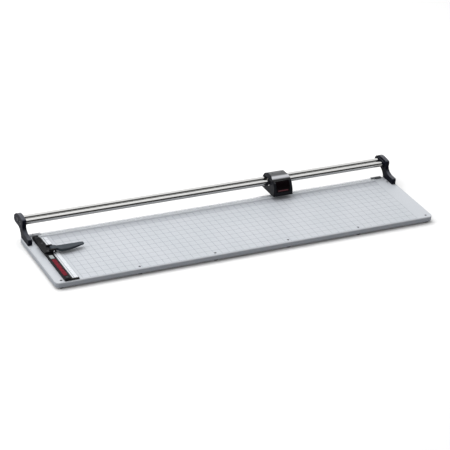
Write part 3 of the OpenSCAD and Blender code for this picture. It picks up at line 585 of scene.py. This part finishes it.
def softened(node, name, width, segments, corners=None, finish=None):
    """A copy of a CAD node with its edges rounded off, shown instead of it.

    The head cover's outer front corners get a larger radius, given as corners."""
    source = frame["nodes"][node]
    bm = bmesh.new()
    bm.from_mesh(source.data)
    bmesh.ops.remove_doubles(bm, verts=bm.verts, dist=CAD_WELD)
    bmesh.ops.dissolve_limit(bm, angle_limit=FLAT_ANGLE, verts=bm.verts, edges=bm.edges,
                             use_dissolve_boundaries=False)
    if corners:
        bmesh.ops.bevel(bm, geom=corner_edges(bm), offset=corners, segments=6, profile=0.5,
                        affect="EDGES", clamp_overlap=True)
    mesh = bpy.data.meshes.new(name)
    bm.to_mesh(mesh)
    bm.free()
    copy = bpy.data.objects.new(name, mesh)
    bpy.context.scene.collection.objects.link(copy)
    bevel = copy.modifiers.new("round", "BEVEL")
    bevel.width = width
    bevel.segments = segments
    bevel.limit_method = "ANGLE"
    bevel.angle_limit = SOFTENED_ANGLE
    bevel.use_clamp_overlap = True
    bevel.miter_outer = "MITER_ARC"
    final = bpy.data.meshes.new_from_object(copy.evaluated_get(bpy.context.evaluated_depsgraph_get()))
    bpy.data.objects.remove(copy)
    final.name = name
    for polygon in final.polygons:
        polygon.use_smooth = True
    final.set_sharp_from_angle(angle=SHARP_ANGLE)
    body = body_of(source)[0]
    piece = new_piece(name, final, finish or finishes[slots[node]], body)
    weighted = piece.modifiers.new("weighted", "WEIGHTED_NORMAL")
    weighted.keep_sharp = True
    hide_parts(node)
    return piece


# ---------------------------------------------------------------- finishes on the CAD pieces

for node, obj in frame["nodes"].items():
    obj.data.materials.clear()
    obj.data.materials.append(finishes[slots[node]])

# ---------------------------------------------------------------- printed marks on the board


def line_x(y, width, x0, x1):
    """Printed line along X."""
    return ((x0, y - width / 2, board_top), (x1, y + width / 2, board_top + INK))


def line_y(x, width, y0, y1):
    """Printed line along Y."""
    return ((x - width / 2, y0, board_top), (x + width / 2, y1, board_top + INK))


# Line widths
INCH_LINE = 1.0 * MM
HALF_LINE = 0.22 * MM
BORDER_LINE = 0.8 * MM
TICK_LINE = 0.25 * MM
SCALE_LINE = 0.22 * MM
RULE_LINE = 2.4 * MM
GUIDE_LINE = 0.7 * MM

# Sizes of the numbers on the board and on the clamp's scale
NUMBER_SIZE = 5.2 * MM
SCALE_NUMBER_SIZE = 4.2 * MM

column_x = [field_right - INCH * i for i in range(field_columns + 1)]
row_y = [cut_y - INCH * (i + 1) for i in range(field_rows)]
field_left = column_x[-1]
field_front, field_back = row_y[-1], row_y[0]
border_back = field_back + 4 * MM

inch_lines = [line_y(x, INCH_LINE, field_front, field_back) for x in column_x[1:]]
inch_lines += [line_x(y, INCH_LINE, field_left, field_right) for y in row_y]
boxes("grid_inch_lines", inch_lines, finishes["grid_ink"], "base")

half_lines = [line_y(x - INCH / 2, HALF_LINE, field_front, field_back) for x in column_x[:-1]]
half_lines += [line_x(y - INCH / 2, HALF_LINE, field_left, field_right) for y in row_y[:-1]]
boxes("grid_half_inch_lines", half_lines, faint_ink, "base")

boxes("grid_border", [line_y(field_right, BORDER_LINE, field_front, border_back)],
      dark_ink, "base")

# Toned strip across the whole field over the number row, a painted shade where the rails' soft shadow
# falls, thinner than the lines that cross it
row_shade_span = ((field_left, row_y[1], board_top), (field_right, field_back, board_top + INK / 3))
boxes("number_row_painted_shade", [row_shade_span], row_painted_shade, "base")

# Ruler along the cut: a band under the clear strip, ticks and numbers
band_back, band_front = cut_y - 8 * MM, cut_y - 19 * MM
rule_y = cut_y - 12 * MM
band_span = ((field_left, band_front, board_top), (field_right, band_back, board_top + INK / 2))
boxes("ruler_band", [band_span], band_ink, "base")
boxes("ruler_rule", [line_x(rule_y, RULE_LINE, field_left, field_right)],
      dark_ink, "base")

# Tick lengths by eighths of an inch, for the ruler and for the clamp's scale
EIGHTHS = 8
ruler_tick = {0: 6 * MM, 4: 4.4 * MM, 2: 3.2 * MM, 6: 3.2 * MM}
scale_tick = {0: 5 * MM, 4: 3.6 * MM}
short_tick = 2.2 * MM

ticks_back = field_back + 0.4 * MM
ticks = []
for i in range(field_columns * EIGHTHS + 1):
    length = ruler_tick.get(i % EIGHTHS, short_tick)
    x = field_right - i * INCH / EIGHTHS
    ticks.append(line_y(x, TICK_LINE, field_back - length, ticks_back))
boxes("ruler_ticks", ticks, dark_ink, "base")

numbers_y = field_back - 11 * MM
ruler_values = [(field_columns - i, x, numbers_y) for i, x in enumerate(column_x[:-1])]
numbers("ruler_numbers", ruler_values, NUMBER_SIZE, board_top, dark_ink, "base")

# Scale on the side clamp and the fine line beside it
scale_z = clamp_hi.z
scale_front = clamp_lo.y + 3 * MM
scale_back = clamp_hi.y - 2 * MM
scale_right = clamp_hi.x - 2.5 * MM
stripe_left, stripe_right = clamp_lo.x + 4.2 * MM, clamp_lo.x + 6.0 * MM
values_x = clamp_lo.x + 9.2 * MM
scale_marks = []
scale_values = []
step = 0
while cut_y - INCH * step / EIGHTHS > scale_front:
    y = cut_y - INCH * step / EIGHTHS
    if y < scale_back:
        length = scale_tick.get(step % EIGHTHS, short_tick)
        scale_marks.append(((scale_right - length, y - SCALE_LINE / 2, scale_z),
                            (scale_right, y + SCALE_LINE / 2, scale_z + INK)))
        if step % EIGHTHS == 0:
            scale_values.append((step // EIGHTHS, values_x, y))
    step += 1
stripe_gap = 0.5 * MM
scale_marks.append(((stripe_left, clamp_lo.y + stripe_gap, scale_z),
                    (stripe_right, clamp_hi.y - stripe_gap, scale_z + INK)))
boxes("clamp_scale", scale_marks, dark_ink, "side_clamp")
numbers("clamp_scale_numbers", scale_values, SCALE_NUMBER_SIZE, scale_z, dark_ink, "side_clamp")
guide_line_x = clamp_hi.x + 2.4 * MM
boxes("guide_line", [line_y(guide_line_x, GUIDE_LINE, clamp_lo.y, clamp_hi.y)],
      finishes["grid_ink"], "base")

# Dull red bar on the head's badge, bent to its face
badge_mesh = frame["nodes"]["head_badge"].data
badge_tree = BVHTree.FromPolygons([vertex.co for vertex in badge_mesh.vertices],
                                  [polygon.vertices for polygon in badge_mesh.polygons])


def badge_y(z):
    """Depth of the badge's face at a height."""
    ahead = 100 * MM
    start = Vector(((badge_lo.x + badge_hi.x) / 2, badge_lo.y - ahead, z))
    return badge_tree.ray_cast(start, Vector((0, 1, 0)))[0].y


def badge_bar():
    """Thin closed bar across the badge, laid on the badge's curved face."""
    low, high = badge_lo.z + 4 * MM, badge_lo.z + 8 * MM
    x0, x1 = badge_lo.x + 7 * MM, badge_hi.x - 6 * MM
    steps = 6
    bm = bmesh.new()
    rings = []
    for i in range(steps + 1):
        z = low + (high - low) * i / steps
        y = badge_y(z)
        corners = ((x0, y - INK, z), (x1, y - INK, z), (x1, y + INK, z), (x0, y + INK, z))
        rings.append([bm.verts.new(corner) for corner in corners])
    for lower, upper in zip(rings, rings[1:]):
        for i in range(4):
            j = (i + 1) % 4
            bm.faces.new((lower[i], lower[j], upper[j], upper[i]))
    bm.faces.new(list(reversed(rings[0])))
    bm.faces.new(rings[-1])
    mesh = bpy.data.meshes.new("badge_bar")
    bm.to_mesh(mesh)
    bm.free()
    return new_piece("badge_bar", mesh, finishes["red_ink"], "carriage")


badge_bar()

# ---------------------------------------------------------------- softened copies of visible CAD pieces

softened("edge_trim", "edge_trim_rounded", 1.6 * MM, 3)
softened("bracket_left", "bracket_left_casting", 1.8 * MM, 4)
softened("bracket_right", "bracket_right_casting", 1.8 * MM, 4)
softened("head_cover", "head_cover_shell", 0.8 * MM, 3, corners=4 * MM, finish=cover_finish)
softened("clamp_lever", "clamp_lever_moulding", 0.8 * MM, 3)
softened("lever_bracket", "lever_bracket_moulding", 0.6 * MM, 3)
softened("guide_bar", "guide_bar_profile", 0.3 * MM, 2)
softened("side_clamp", "side_clamp_strip", 0.25 * MM, 2)
softened("strip_anchor_left", "strip_anchor_left_block", 0.5 * MM, 3)
softened("strip_anchor_right", "strip_anchor_right_block", 0.5 * MM, 3, finish=anchor_finish)

# Coil spring behind the wheel's sleeve: a copy of the CAD spring with a mesh of its own, shown instead of
# it
spring = frame["nodes"]["wheel_spring"]
coil = new_piece("wheel_spring_coil", spring.data.copy(), finishes[slots["wheel_spring"]],
                 body_of(spring)[0])
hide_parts("wheel_spring")
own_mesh(coil)

# ---------------------------------------------------------------- camera, floor and light

# Where the camera stands and how it is turned: yaw from +Y towards +X, pitch down, roll
CAMERA_AT = Vector((-2.57623, -4.61862, 2.90693))
YAW, PITCH, ROLL = (math.radians(degrees) for degrees in (29.043, 28.715, -5.162))
# Sensor and focal length in millimetres, as Blender takes them
SENSOR_WIDTH = 36
FOCAL_LENGTH = 145.69
# Brightness of the surroundings where the camera sees them
BACKDROP = 0.96


def make_camera():
    """The camera: its axes from yaw and pitch, then rolled about the view."""
    forward = Vector((math.sin(YAW) * math.cos(PITCH), math.cos(YAW) * math.cos(PITCH), -math.sin(PITCH)))
    level = Vector((math.cos(YAW), -math.sin(YAW), 0))
    down = forward.cross(level)
    right = math.cos(ROLL) * level + math.sin(ROLL) * down
    up = -(math.cos(ROLL) * down - math.sin(ROLL) * level)
    data = bpy.data.cameras.new("camera")
    data.sensor_width = SENSOR_WIDTH
    data.lens = FOCAL_LENGTH
    data.clip_start, data.clip_end = 0.1, 100
    camera = bpy.data.objects.new("camera", data)
    axes = Matrix((right, up, -forward)).transposed().to_4x4()
    camera.matrix_world = Matrix.Translation(CAMERA_AT) @ axes
    bpy.context.scene.collection.objects.link(camera)
    bpy.context.scene.camera = camera


def make_floor():
    """Wide pale floor under the feet."""
    half = 40.0
    corners = ((-half, -half, 0), (half, -half, 0), (half, half, 0), (-half, half, 0))
    bm = bmesh.new()
    bm.faces.new([bm.verts.new(corner) for corner in corners])
    mesh = bpy.data.meshes.new("floor")
    bm.to_mesh(mesh)
    bm.free()
    paper = Finish("floor_paper", (0.72, 0.72, 0.72, 1), 0.9, Specular_IOR_Level=0.0)
    floor = bpy.data.objects.new("floor", mesh)
    mesh.materials.append(paper.material)
    bpy.context.scene.collection.objects.link(floor)


def area_light(name, at, target, size, power):
    """Rectangular lamp that lights the scene but is not itself seen or mirrored."""
    data = bpy.data.lights.new(name, "AREA")
    data.shape = "RECTANGLE"
    data.size, data.size_y = size
    data.energy = power
    light = bpy.data.objects.new(name, data)
    light.location = at
    light.rotation_mode = "QUATERNION"
    light.rotation_quaternion = (Vector(target) - Vector(at)).to_track_quat("-Z", "Y")
    light.visible_camera = False
    light.visible_glossy = False
    bpy.context.scene.collection.objects.link(light)


def make_world():
    """Pale surroundings, one for the camera, one for reflections and one for soft light."""
    world = bpy.data.worlds.new("studio")
    bpy.context.scene.world = world
    world.use_nodes = True
    tree = world.node_tree
    tree.nodes.clear()

    def slope(value, low, high, out_low, out_high):
        """Smooth change of brightness along one direction."""
        return remap(tree, value, low, high, out_low, out_high, interpolation_type="SMOOTHSTEP")

    def choose(share, chosen, other):
        """The first brightness where share is 1, the other where it is 0."""
        rest = calculate(tree, "SUBTRACT", 1.0, share)
        return calculate(tree, "ADD", calculate(tree, "MULTIPLY", share, chosen),
                         calculate(tree, "MULTIPLY", rest, other))

    split = add_node(tree, "ShaderNodeSeparateXYZ")
    tree.links.new(add_node(tree, "ShaderNodeTexCoord").outputs["Generated"], split.inputs[0])
    x, y = split.outputs["X"], split.outputs["Y"]
    # In reflections: dark on the camera's side, a little brighter at the left
    mirrored = calculate(tree, "MULTIPLY", slope(y, -0.44, -0.3, 0.05, 1.0),
                         slope(x, 0.3, 0.55, 1.6, 1.38))
    # As soft light: brighter from behind and from the left
    spread = calculate(tree, "MULTIPLY", slope(y, -0.6, 0.6, 0.68, 1.35),
                       slope(x, -0.9, 0.3, 1.3, 0.9))
    ray = add_node(tree, "ShaderNodeLightPath").outputs
    unseen = choose(ray["Is Glossy Ray"], mirrored, spread)
    background = add_node(tree, "ShaderNodeBackground")
    background.inputs["Color"].default_value = (1, 1, 1, 1)
    tree.links.new(choose(ray["Is Camera Ray"], BACKDROP, unseen), background.inputs["Strength"])
    output = add_node(tree, "ShaderNodeOutputWorld")
    tree.links.new(background.outputs[0], output.inputs["Surface"])


make_camera()
make_floor()
make_world()
area_light("overhead", at=(-0.2, 1.05, 2.3), target=(0, 0.05, 0), size=(2.6, 1.6), power=50)
area_light("left_fill", at=(-3.2, 0.6, 1.4), target=(0, 0, 0), size=(1.6, 1.6), power=36)
bpy.context.scene.view_settings.view_transform = "Standard"
